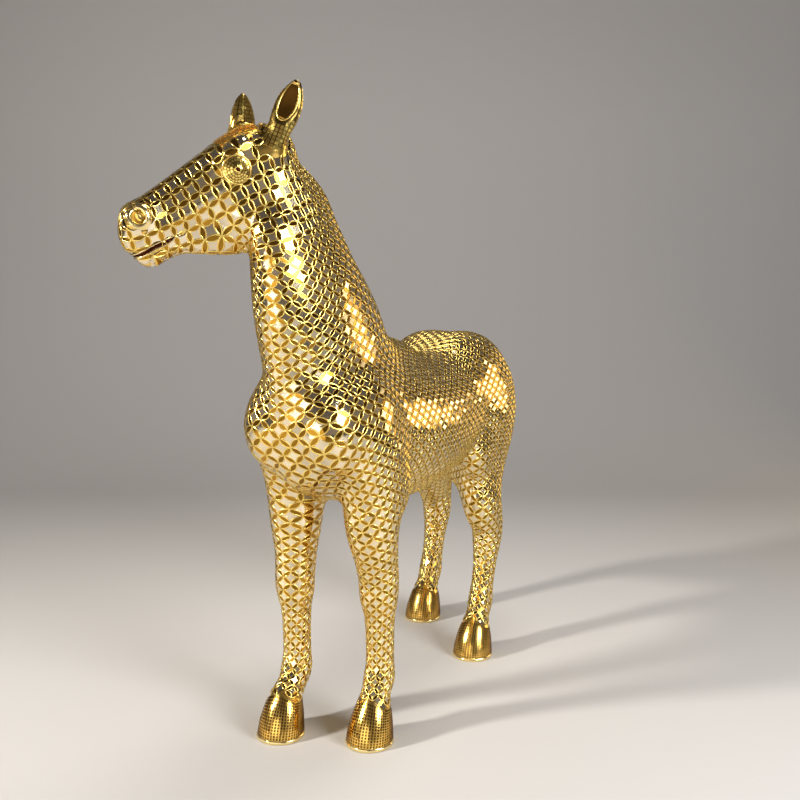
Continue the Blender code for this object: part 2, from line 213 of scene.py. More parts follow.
def set_field(mesh, name, values):
    """Keeps a vector or a number for each point of a mesh."""
    values = np.array(values, np.float32)
    kind, key = ("FLOAT_VECTOR", "vector") if values.ndim == 2 else ("FLOAT", "value")
    mesh.attributes.new(name, kind, "POINT").data.foreach_set(key, values.ravel())


def merged_copy(name, source):
    """A copy of a CAD node's loose triangles, joined into one closed mesh."""
    mesh = source.data.copy()
    mesh.name = name
    bm = bmesh.new()
    bm.from_mesh(mesh)
    bmesh.ops.remove_doubles(bm, verts=bm.verts, dist=1e-5)
    bm.to_mesh(mesh)
    bm.free()
    mesh.materials.clear()
    return new_object(name, mesh)


def remesh_smooth(obj, cell, passes):
    voxels = obj.modifiers.new("voxels", "REMESH")
    voxels.mode = "VOXEL"
    voxels.voxel_size = cell
    smooth = obj.modifiers.new("smooth", "SMOOTH")
    smooth.factor = 0.5
    smooth.iterations = passes
    mesh = finished_mesh(obj)
    mesh.shade_smooth()
    return mesh


horse = bpy.data.objects["horse"]
shell = merged_copy("gilded_shell", horse)
remesh_smooth(shell, SHELL_CELL, SHELL_PASSES)
set_field(shell.data, "skin_normal", array_of(shell.data, "normal"))
shell.data.materials.append(gilding)
print("shell has", len(shell.data.polygons), "faces")

# %% [markdown]
# The pattern follows a net of nearly square cells that runs along the legs, neck, body and head.
# QuadriFlow lays such a net over any closed form. The ears and their thin edges would upset
# it, so they are cut off first. Then the net is relaxed: each point moves towards the middle of its
# neighbours and back onto the skin, which evens out the cells.

# %% Nets over the skin
BODY_PITCH = 0.0350  # from one circle's centre to the next
CHEEK_PITCH = 0.0430
SKIN_CELL, SKIN_PASSES = 0.010, 8
EAR_FOOT, EAR_REACH = 0.030, 0.075  # above its root, how high an ear is cut off, and how wide
MORE_FACES = 1.12  # the net comes out this much coarser than it is asked for


def without_ears(name):
    obj = merged_copy(name, horse)
    bm = bmesh.new()
    bm.from_mesh(obj.data)
    for ear in ears:
        inverse = ear.inverted()
        gone = []
        for vert in bm.verts:
            at = inverse @ vert.co
            if at.z > EAR_FOOT and math.hypot(at.x, at.y) < EAR_REACH:
                gone.append(vert)
        bmesh.ops.delete(bm, geom=gone, context="VERTS")
        rims = [edge for edge in bm.edges if edge.is_boundary]
        bmesh.ops.holes_fill(bm, edges=rims, sides=0)
    bmesh.ops.triangulate(bm, faces=[f for f in bm.faces if len(f.verts) > 3])
    bm.to_mesh(obj.data)
    bm.free()
    remesh_smooth(obj, SKIN_CELL, SKIN_PASSES)
    return obj


def laid_net(smooth_obj, pitch):
    """A net of quads over a closed form, about one pitch a side: its points and quads."""
    obj = new_object("net", smooth_obj.data.copy())
    area = sum(face.area for face in obj.data.polygons)
    for other in bpy.context.selected_objects:
        other.select_set(False)
    bpy.context.view_layer.objects.active = obj
    obj.select_set(True)
    bpy.ops.object.quadriflow_remesh(
        mode="FACES",
        target_faces=int(area / pitch**2 * MORE_FACES),
        seed=3,
        use_mesh_symmetry=False,
    )
    points = array_of(obj.data)
    quads = np.array([face.vertices[:] for face in obj.data.polygons])
    bpy.data.objects.remove(obj)
    return points, quads


def on_skin(points, tree):
    return np.array([tree.find_nearest(Vector(p))[0] for p in points])


def net_edges(quads):
    """Each edge once: its two points, and the quads on its two sides."""
    sides = {}
    for index, quad in enumerate(quads):
        for k in range(4):
            a, b = int(quad[k]), int(quad[(k + 1) % 4])
            sides.setdefault((min(a, b), max(a, b)), []).append(index)
    pairs = [(a, b, faces[0], faces[1]) for (a, b), faces in sides.items() if len(faces) == 2]
    return np.array(pairs)


def relaxed(points, quads, tree, passes=12):
    edges = net_edges(quads)[:, :2]
    for _ in range(passes):
        total = np.zeros_like(points)
        count = np.zeros(len(points))
        for a, b in ((0, 1), (1, 0)):
            np.add.at(total, edges[:, a], points[edges[:, b]])
            np.add.at(count, edges[:, a], 1)
        points = on_skin(0.4 * points + 0.6 * total / count[:, None], tree)
    return points


def diagonal_net(points, quads, tree):
    """The same net turned by 45 degrees: one new quad for each old edge."""
    centres = on_skin(points[quads].mean(1), tree)
    edges = net_edges(quads)
    nodes = np.vstack([points, centres])
    base = len(points)
    new = np.stack([edges[:, 0], base + edges[:, 2], edges[:, 1], base + edges[:, 3]], 1)
    return nodes, new


skin = without_ears("skin")
skin_tree = BVHTree.FromObject(skin, bpy.context.evaluated_depsgraph_get())
shell_tree = BVHTree.FromObject(shell, bpy.context.evaluated_depsgraph_get())
coarse_points, coarse_quads = laid_net(skin, BODY_PITCH * math.sqrt(2))
coarse_points = relaxed(coarse_points, coarse_quads, skin_tree)
body_net = diagonal_net(coarse_points, coarse_quads, skin_tree)
fine_points, fine_quads = laid_net(skin, CHEEK_PITCH)
head_net = (relaxed(fine_points, fine_quads, skin_tree), fine_quads)
print("body net", len(body_net[1]), "cells, head net", len(head_net[1]), "cells")

# %% [markdown]
# On the neck, body and legs the pattern stands on its corner, so the stars look like diamonds. On the
# head it runs square to the nose. The two nets meet behind the cheeks. Hooves, ears,
# eyes, nostrils and lips have finishes of their own, so no tile is laid there.

# %% Which places get a tile
EYE = Vector((0.155, 0.078, -0.059))
NOSTRIL = Vector((0.463, 0.064, -0.021))
MOUTH_LINE = ((0.379, -0.131), (0.440, -0.126), (0.480, -0.1225), (0.560, -0.118))
FORELOCK = ((0.028, 0.150), (-0.078, 0.066))  # in the head's frame: along the nose, and across it
CORONET, CORONET_PEAK = 0.118, 0.030  # how high a hoof's bricks reach, and how much higher in front
HOOF_REACH = 0.12
EYE_BARE, NOSTRIL_BARE, LIP_BARE, EAR_BARE = 0.047, 0.043, 0.011, 0.047
CORONET_BARE = 0.014
MOUTH_START = 0.365
BROW = -0.045  # lowest place of the forelock in the head's frame
HEAD_START, JAW = 0.012, -0.325  # the head's net begins past the poll and above the throat


def coronet_height(x, y):
    """How high a hoof's bricks reach: higher in front, where the hair line rises to a point."""
    forward = -y / np.hypot(x, y)
    return CORONET + CORONET_PEAK * np.maximum(0.0, forward) ** 2


def below_coronet(points, slack):
    low = np.zeros(len(points), bool)
    for x, y in HOOVES.values():
        away_x = points[:, 0] - CENTRING.x - x
        away_y = points[:, 1] - CENTRING.y - y - 0.02
        top = coronet_height(away_x, away_y) + slack
        low |= (np.hypot(away_x, away_y) < HOOF_REACH) & (points[:, 2] < top)
    return low


def in_frame(points, frame_matrix):
    inverse = frame_matrix.inverted()
    return points @ np.array(inverse.to_3x3()).T + np.array(inverse.translation)


def segment_distance(at, a, b):
    along = b - a
    share = np.clip(((at - a) @ along) / (along @ along), 0, 1)
    return np.linalg.norm(at - a - share[:, None] * along, axis=1)


def bare_places(points, slack=0.0):
    """True where a point is on a hoof, ear, eye, nostril or lip."""
    at = in_frame(points, head_frame)
    bare = below_coronet(points, CORONET_BARE + slack)
    for spot, reach in ((EYE, EYE_BARE), (NOSTRIL, NOSTRIL_BARE)):
        for side in (1, -1):
            middle = np.array((spot.x, side * spot.y, spot.z))
            bare |= np.linalg.norm(at - middle, axis=1) < reach + slack
    mouth = np.array(MOUTH_LINE)
    for a, b in zip(mouth[:-1], mouth[1:]):
        bare |= (segment_distance(at[:, [0, 2]], a, b) < LIP_BARE + slack) & (at[:, 0] > MOUTH_START)
    (low_x, high_x), (low_y, high_y) = FORELOCK
    over = (at[:, 0] > low_x - 0.006) & (at[:, 0] < high_x + 0.006) & (at[:, 2] > BROW)
    bare |= over & (at[:, 1] > low_y - 0.004) & (at[:, 1] < high_y - 0.010)
    for ear in ears:
        local = in_frame(points, ear)
        bare |= (np.hypot(local[:, 0], local[:, 1]) < EAR_BARE + slack) & (local[:, 2] > -0.03)
    return bare


def on_head(points):
    at = in_frame(points, head_frame)
    return (at[:, 0] > HEAD_START) & (at[:, 2] > JAW)


def cell_places(p0, p1, p2, p3):
    """Centre, along, across and twist of four-cornered cells."""
    return {
        "centre": (p0 + p1 + p2 + p3) / 4,
        "along": (p1 - p0 + p2 - p3) / 2,
        "across": (p3 - p0 + p2 - p1) / 2,
        "twist": p0 - p1 + p2 - p3,
    }


def only(places, chosen):
    return {name: values[chosen] for name, values in places.items()}


def many(parts):
    return {name: np.vstack([places[name] for places in parts]) for name in parts[0]}


def tile_places(net, keep):
    """Where the petals and stars of one net lie: centre, along, across and twist of each."""
    points, quads = net
    edges = net_edges(quads)
    corners = points[quads]
    middles = corners.mean(1)
    a, b = points[edges[:, 0]], points[edges[:, 1]]
    petals = {
        "centre": (a + b) / 2,
        "along": b - a,
        "across": middles[edges[:, 2]] - middles[edges[:, 3]],
        "twist": np.zeros_like(a),
    }
    stars = cell_places(*(corners[:, k] for k in range(4)))
    out = []
    for places in (petals, stars):
        out.append(only(places, keep(places["centre"]) & ~bare_places(places["centre"])))
    return out


body_petals, body_stars = tile_places(body_net, lambda p: ~on_head(p))
head_petals, head_stars = tile_places(head_net, on_head)
petal_places = many([body_petals, head_petals])
star_places = many([body_stars, head_stars])
print(len(petal_places["centre"]), "petals,", len(star_places["centre"]), "stars")

# %% [markdown]
# One Geometry Nodes tree lays every kind of tile. It puts a copy of a small tile on each place,
# stretches the copy to its cell, drops each of its points onto the shell, and lifts it by
# the tile's own height there. A small random tilt makes neighbouring tiles catch the light
# differently, as tiles set by hand do.

# %% The tree that lays tiles
GIVEN = {
    "Places": "Geometry",
    "Tile": "Object",
    "Skin": "Object",
    "Tilt": "Float",
    "Seed": "Int",
    "Material": "Material",
}


def tile_tree():
    tree = bpy.data.node_groups.new("lay tiles", "GeometryNodeTree")
    for name, kind in GIVEN.items():
        tree.interface.new_socket(name, in_out="INPUT", socket_type="NodeSocket" + kind)
    tree.interface.new_socket("Tiles", in_out="OUTPUT", socket_type="NodeSocketGeometry")
    given = add_node(tree, "NodeGroupInput").outputs

    def vectors(operation, feeds):
        made = add_node(tree, "ShaderNodeVectorMath", feeds=feeds, operation=operation)
        return made.outputs["Vector"]

    def added(a, b):
        return vectors("ADD", {0: a, 1: b})

    def scaled(a, scale):
        return vectors("SCALE", {0: a, "Scale": scale})

    def numbers(operation, a, b):
        return add_node(tree, "ShaderNodeMath", feeds={0: a, 1: b}, operation=operation).outputs[0]

    def named(name, kind="FLOAT_VECTOR"):
        made = add_node(tree, "GeometryNodeInputNamedAttribute", {"Name": name}, data_type=kind)
        return made.outputs["Attribute"]

    def random_number(offset, limits):
        """A random number for each place: between the limits, or else from 0 to 1."""
        seed = add_node(tree, "ShaderNodeMath", {1: offset}, {0: given["Seed"]}, operation="ADD")
        feeds = {"Seed": seed.outputs[0], **limits}
        return add_node(tree, "FunctionNodeRandomValue", feeds=feeds, data_type="FLOAT").outputs[1]

    less = add_node(tree, "ShaderNodeMath", {1: -1.0}, {0: given["Tilt"]}, operation="MULTIPLY")
    tilts = {2: less.outputs[0], 3: given["Tilt"]}
    places = given["Places"]
    for offset, (name, limits) in enumerate((("tone", {}), ("lean_x", tilts), ("lean_y", tilts))):
        feeds = {"Geometry": places, "Value": random_number(offset, limits)}
        stored = add_node(
            tree, "GeometryNodeStoreNamedAttribute", {"Name": name}, feeds, data_type="FLOAT"
        )
        places = stored.outputs["Geometry"]

    tile = add_node(tree, "GeometryNodeObjectInfo", feeds={"Object": given["Tile"]})
    feeds = {"Points": places, "Instance": tile.outputs["Geometry"]}
    copies = add_node(tree, "GeometryNodeInstanceOnPoints", feeds=feeds).outputs["Instances"]
    real = add_node(tree, "GeometryNodeRealizeInstances", feeds={"Geometry": copies})

    x, y, z = add_node(tree, "ShaderNodeSeparateXYZ", feeds={0: named("tile_at")}).outputs
    flat = added(named("centre"), scaled(named("along"), x))
    flat = added(flat, scaled(named("across"), y))
    flat = added(flat, scaled(named("twist"), numbers("MULTIPLY", x, y)))

    skin_info = add_node(tree, "GeometryNodeObjectInfo", feeds={"Object": given["Skin"]})
    surface = skin_info.outputs["Geometry"]
    touch = add_node(tree, "GeometryNodeProximity", feeds={0: surface, "Sample Position": flat})
    feeds = {"Mesh": surface, "Value": named("skin_normal"), "Sample Position": flat}
    upright = add_node(
        tree, "GeometryNodeSampleNearestSurface", feeds=feeds, data_type="FLOAT_VECTOR"
    )
    normal = vectors("NORMALIZE", {0: upright.outputs["Value"]})

    height = numbers("ADD", z, numbers("MULTIPLY", x, named("lean_x", "FLOAT")))
    height = numbers("ADD", height, numbers("MULTIPLY", y, named("lean_y", "FLOAT")))
    place = added(touch.outputs["Position"], scaled(normal, height))
    feeds = {"Geometry": real.outputs["Geometry"], "Position": place}
    moved = add_node(tree, "GeometryNodeSetPosition", feeds=feeds).outputs["Geometry"]
    feeds = {"Geometry": moved, "Material": given["Material"]}
    finish = add_node(tree, "GeometryNodeSetMaterial", feeds=feeds)
    add_node(tree, "NodeGroupOutput", feeds={"Tiles": finish.outputs["Geometry"]})
    return tree


lay_tiles = tile_tree()
print("tree with", len(lay_tiles.nodes), "nodes")

# %% [markdown]
# To lay one kind of tile, its places become loose points that carry their sizes as attributes. The
# tree runs on them as a modifier, and the result is turned into plain mesh.

# %% Laying one kind of tile


def places_object(name, places):
    """Loose points that carry each tile's centre, along, across and twist."""
    mesh = new_mesh(name, places["centre"])
    for field, values in places.items():
        set_field(mesh, field, values)
    return new_object(name, mesh)


def tile_object(name, points, faces, smooth=True):
    """One tile: x and y are shares of its cell, z is a height in metres. A tile of one flat face
    keeps one even normal when it is shaded smooth, even where the skin bends it."""
    mesh = new_mesh(name, points, faces)
    set_field(mesh, "tile_at", points)
    if smooth:
        mesh.shade_smooth()
    return new_object(name, mesh)


def face_up(places):
    """Turns round the places whose along and across would lay a tile face down."""
    places = {field: values.copy() for field, values in places.items()}
    for i, centre in enumerate(places["centre"]):
        normal = shell_tree.find_nearest(Vector(centre))[1]
        if np.dot(np.cross(places["along"][i], places["across"][i]), normal) < 0:
            places["across"][i] *= -1
            places["twist"][i] *= -1
    return places


def lay(name, places, tile, material, tilt, seed):
    """Lays a tile on every place of the shell, as one plain mesh that rides on the body."""
    obj = places_object(name, face_up(places))
    modifier = obj.modifiers.new("lay", "NODES")
    modifier.node_group = lay_tiles
    inputs = {"Tile": tile, "Skin": shell, "Tilt": tilt, "Seed": seed, "Material": material}
    sockets = lay_tiles.interface.items_tree
    for label, value in inputs.items():
        modifier[sockets[label].identifier] = value
    mesh = finished_mesh(obj)
    for field in ("centre", "along", "across", "twist", "lean_x", "lean_y", "tile_at"):
        mesh.attributes.remove(mesh.attributes[field])
    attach(obj, "root")
    triangles = sum(len(face.vertices) - 2 for face in mesh.polygons)
    print(name, len(places["centre"]), "tiles,", triangles, "triangles")


print("ready to lay")

# %% [markdown]
# A petal is where two circles of one size cross. If each cell is one unit wide, the circles have
# a radius of half the cell's diagonal, so the petal is one unit long and 0.41 wide. The star
# fills what is left of the circle. Both are drawn here a little smaller than their places, to
# leave room for the gold line, which is a rounded ridge that follows the petal's edge.

# %% Petal, star and line
CIRCLE = math.sqrt(0.5)
LINE = 0.066  # half the gold line's width, as a share of the cell
TILE_TOP, LINE_CREST, LINE_FOOT = 0.0012, 0.0030, 0.0005  # heights above the shell


def petal_half_width(x):
    return math.sqrt(CIRCLE**2 - x * x) - 0.5


def petal_outline(long, wide, steps=5):
    """Points round a petal, from one tip round to the other and back."""
    xs = [-0.5 + i / steps for i in range(steps + 1)]
    upper = [(x * long, petal_half_width(x) * wide) for x in xs]
    lower = [(x, -y) for x, y in reversed(upper[1:-1])]
    return upper + lower


def flat_tile(outline):
    """One flat face. Its edge lies inside the gold line round it, so it needs no sides."""
    return [(x, y, TILE_TOP) for x, y in outline], [tuple(range(len(outline)))]


def bent_tile(outline):
    """The same tile with points inside it, so that it can follow a strongly rounded skin."""
    count = len(outline)
    points = flat_tile(outline)[0] + [(x / 2, y / 2, TILE_TOP) for x, y in outline]
    faces = [(i, (i + 1) % count, count + (i + 1) % count, count + i) for i in range(count)]
    faces += [(count + i, count + (i + 1) % count, 2 * count) for i in range(count)]
    return points + [(0.0, 0.0, TILE_TOP)], faces


def star_outline(inset, steps=3):
    """Points round a star: four corners joined by arcs that bend inwards."""
    points = []
    for k in range(4):
        cos, sin = math.cos(k * math.pi / 2), math.sin(k * math.pi / 2)
        for i in range(steps):
            x = (-0.5 + i / steps) * inset
            y = (-0.5 + petal_half_width(-0.5 + i / steps)) * inset
            points.append((x * cos - y * sin, x * sin + y * cos))
    return points


def ridge(outline):
    """A ridge along a closed outline, with its crest on the outline. It is wider at the tips."""
    count = len(outline)
    points = []
    for i in range(count):
        before = Vector(outline[i - 1])
        here = Vector(outline[i])
        after = Vector(outline[(i + 1) % count])
        way = (after - before).normalized()
        out = Vector((-way.y, way.x))
        reach = LINE * (1.35 if abs(here.y) < 1e-6 else 1.0)
        outer = here + out * reach
        inner = here - out * reach
        points += [(*outer, LINE_FOOT), (*here, LINE_CREST), (*inner, LINE_FOOT)]
    faces = []
    for i in range(count):
        j = (i + 1) % count
        for k in range(2):
            faces.append((3 * i + k, 3 * j + k, 3 * j + k + 1, 3 * i + k + 1))
    return points, faces


def outward(points, faces):
    """Turns the faces so that they look up."""
    mesh = new_mesh("check", points, faces)
    turned_faces = []
    for face in mesh.polygons:
        corners = list(face.vertices)
        turned_faces.append(corners if face.normal.z > 0 else corners[::-1])
    bpy.data.meshes.remove(mesh)
    return points, turned_faces


petal_shape, star_shape = petal_outline(0.90, 0.78), star_outline(0.88)
petal_tile = tile_object("petal_tile", *outward(*flat_tile(petal_shape)))
star_tile = tile_object("star_tile", *outward(*flat_tile(star_shape)))
bent_petal = tile_object("bent_petal", *outward(*bent_tile(petal_shape)))
bent_star = tile_object("bent_star", *outward(*bent_tile(star_shape)))
line_tile = tile_object("line_tile", *outward(*ridge(petal_outline(1.0, 1.0))))
print("star of", len(star_shape), "points, petal of", len(petal_shape))

# %% [markdown]
# Most tiles are flat, as cut glass is. Where the skin is so round that it would stand well above a
# flat tile, a bent one is laid. The lines are laid in two pieces, below and above one metre.

# %% Lay the mosaic
FLAT_LIMIT = 0.0018


def bends(places):
    """True where the skin's surface stands well above a flat tile."""
    return np.array([skin_tree.find_nearest(Vector(p))[3] > FLAT_LIMIT for p in places["centre"]])


upper = petal_places["centre"][:, 2] >= 1.0
for name, chosen in (("lines_low", ~upper), ("lines_high", upper)):
    lay(name, only(petal_places, chosen), line_tile, line_gold, 0.0, 5)
round_petals, round_stars = bends(petal_places), bends(star_places)
flat, bent = only(petal_places, ~round_petals), only(petal_places, round_petals)
lay("flat_petals", flat, petal_tile, petal_gold, 0.0014, 11)
lay("bent_petals", bent, bent_petal, petal_gold, 0.0008, 13)
flat, bent = only(star_places, ~round_stars), only(star_places, round_stars)
lay("flat_stars", flat, star_tile, star_gold, 0.0018, 23)
lay("bent_stars", bent, bent_star, star_gold, 0.0008, 29)

# %% [markdown]
# A flat tile lies like a chord across the round skin, so the skin would stand above its middle. The
# shell is therefore sunk by a few millimetres under the tiles, and keeps its height elsewhere.

# %% Sink the shell under the tiles
SINK, SINK_AT_EDGE = 0.0026, 0.0012
surface = array_of(shell.data)
upright = array_of(shell.data, "normal")
sink = np.where(bare_places(surface), SINK_AT_EDGE, SINK)
sink[bare_places(surface, -0.006)] = 0.0
sunk = (surface - upright * sink[:, None]).astype(np.float32)
shell.data.vertices.foreach_set("co", sunk.ravel())
shell.data.update()
print(int((sink == SINK).sum()), "points sunk")

# %% [markdown]
# The finer trim is placed by shooting rays at the shell, the way a gilder would hold a stencil
# against it. A grid of hits gives places for small bricks, and a row of hits gives a path along
# which a rounded ridge is swept.

# %% Rays, grids and swept ridges


def circle(count, shift=0.0):
    """The cosine and sine of evenly spaced angles."""
    angles = [2 * math.pi * (c + shift) / count for c in range(count)]
    return [(math.cos(angle), math.sin(angle)) for angle in angles]


def hit_with_normal(frame_matrix, start, way):
    """Where a ray, given in a frame's own coordinates, meets the shell: place and normal."""
    origin = frame_matrix @ Vector(start)
    direction = (frame_matrix.to_3x3() @ Vector(way)).normalized()
    place, normal, _, _ = shell_tree.ray_cast(origin, direction)
    if place is None:
        place, normal, _, _ = shell_tree.find_nearest(origin)
    return place, normal


def hit(frame_matrix, start, way):
    return hit_with_normal(frame_matrix, start, way)[0]


def grid_places(rows, closed=False, limit=1.0):
    """Places for tiles in the cells of a grid of points. A cell with a missing corner is left out,
    and so is one longer or wider than the limit."""
    grid = np.array([[p if p is not None else (np.nan,) * 3 for p in row] for row in rows], float)
    if closed:
        grid = np.concatenate([grid, grid[:, :1]], axis=1)
    places = cell_places(grid[:-1, :-1], grid[1:, :-1], grid[1:, 1:], grid[:-1, 1:])
    places = {name: values.reshape(-1, 3) for name, values in places.items()}
    whole = ~np.isnan(places["centre"]).any(-1)
    for name in ("along", "across"):
        whole &= np.linalg.norm(np.nan_to_num(places[name]), axis=1) < limit
    return only(places, whole)


def ring_faces(first, second, count):
    """Faces between two rings of points, given the number of each ring's first point."""
    pairs = [(c, (c + 1) % count) for c in range(count)]
    return [(first + c, second + c, second + d, first + d) for c, d in pairs]


def finished_piece(name, points, faces, material, slot):
    mesh = new_mesh(name, points, faces)
    bm = bmesh.new()
    bm.from_mesh(mesh)
    bmesh.ops.recalc_face_normals(bm, faces=bm.faces)
    bm.to_mesh(mesh)
    bm.free()
    mesh.shade_smooth()
    mesh.materials.append(material)
    obj = new_object(name, mesh)
    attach(obj, "root")
    print(name, len(mesh.polygons), "faces")


def swept(path, ups, profile, closed, sizes=None):
    """Points and faces of a solid swept along a path; profile points are (aside, up), in metres."""
    count, around = len(path), len(profile)
    points, faces = [], []
    for i, place in enumerate(path):
        before = path[i - 1] if closed or i else place
        after = path[(i + 1) % count] if closed or i < count - 1 else place
        way = (after - before).normalized()
        up = (ups[i] - way * ups[i].dot(way)).normalized()
        aside = up.cross(way)
        size = sizes[i] if sizes else 1.0
        points += [place + (aside * a + up * u) * size for a, u in profile]
    for i in range(count if closed else count - 1):
        faces += ring_faces(i * around, (i + 1) % count * around, around)
    if not closed:
        faces.append(tuple(range(around)))
        faces.append(tuple(range((count - 1) * around, count * around)))
    return points, faces


def ridge_profile(half_width, height, depth=0.002, steps=5):
    """A rounded ridge's section, from one foot over the top to the other."""
    arc = [math.pi * i / steps for i in range(steps + 1)]
    top = [(half_width * math.cos(a), height * math.sin(a)) for a in arc]
    return top + [(-half_width, -depth), (half_width, -depth)]


def gathered(parts):
    """Several lists of points and faces as one."""
    points, faces = [], []
    for more_points, more_faces in parts:
        base = len(points)
        points += list(more_points)
        faces += [tuple(base + i for i in face) for face in more_faces]
    return points, faces


BRICK = [(-0.5, -0.5), (0.5, -0.5), (0.5, 0.5), (-0.5, 0.5)]


def brick_tile(name, long, wide, height):
    """A small four-sided tile with steep edges, as long and wide as these shares of its cell."""
    foot = [(x * long, y * wide, -0.0010) for x, y in BRICK]
    top = [(x * long * 0.93, y * wide * 0.93, height) for x, y in BRICK]
    faces = [(4, 5, 6, 7)] + [(i, (i + 1) % 4, 4 + (i + 1) % 4, 4 + i) for i in range(4)]
    return tile_object(name, foot + top, faces, smooth=False)


print("helpers ready")

# %% [markdown]
# Each hoof is clad in small amber bricks that climb it in columns, set in gold, and they rise to a
# point in front. A smooth pale rim runs round its foot.

# %% Hooves
COLUMNS, ROWS = 50, 14
BRICK_START, RIM_MIDDLE = 0.015, 0.0075  # heights above the floor
HOOF_SLOPE = 0.042 / 0.148  # how far a hoof's axis runs back for each metre of height
RIM_SECTION = [
    (-0.0072, -0.004),
    (-0.0072, 0.0020),
    (-0.004, 0.0042),
    (0.003, 0.0038),
    (0.0068, 0.0010),
    (0.0068, -0.004),
]
hoof_brick = brick_tile("hoof_brick", 0.78, 0.62, 0.0010)
brick_cells, rims = [], []
for x, y in HOOVES.values():
    stand = Matrix.Translation(CENTRING + Vector((x, y, 0)))
    rows = []
    for r in range(ROWS + 1):
        row = []
        for cos, sin in circle(COLUMNS):
            z = BRICK_START + (coronet_height(cos, sin) - BRICK_START) * r / ROWS
            row.append(hit(stand, (0, HOOF_SLOPE * z, z), (cos, sin, 0)))
        rows.append(row)
    brick_cells.append(grid_places(rows, closed=True))
    ups = [Vector((cos, sin, 0)) for cos, sin in circle(72)]
    path = [hit(stand, (0, 0, RIM_MIDDLE), way) for way in ups]
    rims.append(swept(path, ups, RIM_SECTION, True))
lay("hoof_bricks", many(brick_cells), hoof_brick, hoof_amber, 0.0006, 31)
finished_piece("hoof_rims", *gathered(rims), rim_gold, "gold_mosaic")

# %% [markdown]
# An ear is a pointed cup. Inside it is smooth dark bronze, a bright rounded rim follows the
# cup's edge, and the back carries columns of small gold tiles.

# %% Ears
EAR_LOW, EAR_HIGH = 0.070, 0.203  # the cup's ends, above the ear's root
EAR_DEPTH = 0.045  # a ray that lands farther than this from the ear's middle has missed it
CUP_ROWS, CUP_COLUMNS = 13, 9
TILE_RING, TILE_STEP = 18, 0.0120  # tiles round an ear, and the height of each row


def cup_half_width(t):
    return 0.0700 * t**0.55 * (1 - t) ** 0.85


def ear_hit(ear, y, z):
    """The point of an ear's open face at this place, as seen from in front of it."""
    place = hit(ear, (0.12, y, z), (-1, 0, 0))
    if abs((ear.inverted() @ place).x) > EAR_DEPTH:
        place = shell_tree.find_nearest(ear @ Vector((0.008, y, z)))[0]
    return place


def eased(path, passes=5):
    """A closed path with its corners evened out."""
    for _ in range(passes):
        both = [path[i - 1] + path[(i + 1) % len(path)] for i in range(len(path))]
        path = [place * 0.5 + pair * 0.25 for place, pair in zip(path, both)]
    return path


def cup_outline(count=40):
    """Places round the cup's edge: up its left side, and down its right."""
    outline = []
    for i in range(count):
        turn = 2 * i / count
        t = turn if turn <= 1 else 2 - turn
        t = 0.5 - 0.5 * math.cos(math.pi * t)
        side = 1 if turn <= 1 else -1
        outline.append((side * cup_half_width(t), EAR_LOW + (EAR_HIGH - EAR_LOW) * t))
    return outline


def cup_lining(ear):
    """A thin bronze sheet inside the cup, with a front, a back and an edge."""
    rows = []
    for r in range(CUP_ROWS):
        t = 0.03 + 0.94 * r / (CUP_ROWS - 1)
        wide = cup_half_width(t) * 0.97
        z = EAR_LOW + (EAR_HIGH - EAR_LOW) * t
        rows.append([ear_hit(ear, wide * (c / 4 - 1), z) for c in range(CUP_COLUMNS)])
    lift = ear.to_3x3() @ Vector((0.0012, 0, 0))
    front = [place + lift for row in rows for place in row]
    back = [place - lift * 2 for row in rows for place in row]
    under = len(front)
    faces = []
    for r in range(CUP_ROWS - 1):
        for c in range(CUP_COLUMNS - 1):
            a = r * CUP_COLUMNS + c
            b = a + CUP_COLUMNS
            faces.append((a, a + 1, b + 1, b))
            faces.append((under + a, under + b, under + b + 1, under + a + 1))
    last = CUP_COLUMNS - 1
    top = (CUP_ROWS - 1) * CUP_COLUMNS
    edge = list(range(CUP_COLUMNS)) + [r * CUP_COLUMNS + last for r in range(1, CUP_ROWS)]
    edge += [top + c for c in range(last - 1, -1, -1)]
    edge += [r * CUP_COLUMNS for r in range(CUP_ROWS - 2, 0, -1)]
    faces += [(a, under + a, under + b, b) for a, b in zip(edge, edge[1:] + edge[:1])]
    return front + back, faces


def ear_back(ear):
    """Places for the tiles round an ear, with none inside its cup."""
    rows = []
    for r in range(TILE_RING):
        z = TILE_STEP * (r - 1)
        row = []
        for cos, sin in circle(TILE_RING, 0.5):
            place = hit(ear, (-0.004, 0, z), (cos, sin, 0))
            at = ear.inverted() @ place
            t = (at.z - EAR_LOW) / (EAR_HIGH - EAR_LOW)
            inside = at.x > -0.004 and 0 < t < 1 and abs(at.y) < cup_half_width(t) + 0.004
            row.append(None if inside or (at - Vector((0, 0, z))).length > 0.07 else place)
        rows.append(row)
    return grid_places(rows, closed=True, limit=0.020)


print("ear cups from", EAR_LOW, "to", EAR_HIGH)

# %% [markdown]
# Both ears are dressed in the same way: the tiles on the back, the rim, and the lining of the cup.

# %% Dress both ears
ear_brick = brick_tile("ear_brick", 0.84, 0.76, 0.0013)
ear_rims = []
for ear in ears:
    outline = cup_outline()
    path = eased([ear_hit(ear, y, z) for y, z in outline])
    ups = [ear.to_3x3() @ Vector((1, 0.6 * y / 0.035, 0)) for y, z in outline]
    ear_rims.append(swept(path, ups, ridge_profile(0.0032, 0.0034), True))
ear_cells = many([ear_back(ear) for ear in ears])
lay("ear_tiles", ear_cells, ear_brick, small_gold, 0.0006, 37)
finished_piece("ear_rims", *gathered(ear_rims), line_gold, "gold_mosaic")
linings = gathered([cup_lining(ear) for ear in ears])
finished_piece("ear_linings", *linings, ear_bronze, "ear_bronze")

# %% [markdown]
# An eye is a low dome covered in rings of tiny gold tiles round a dark pupil.

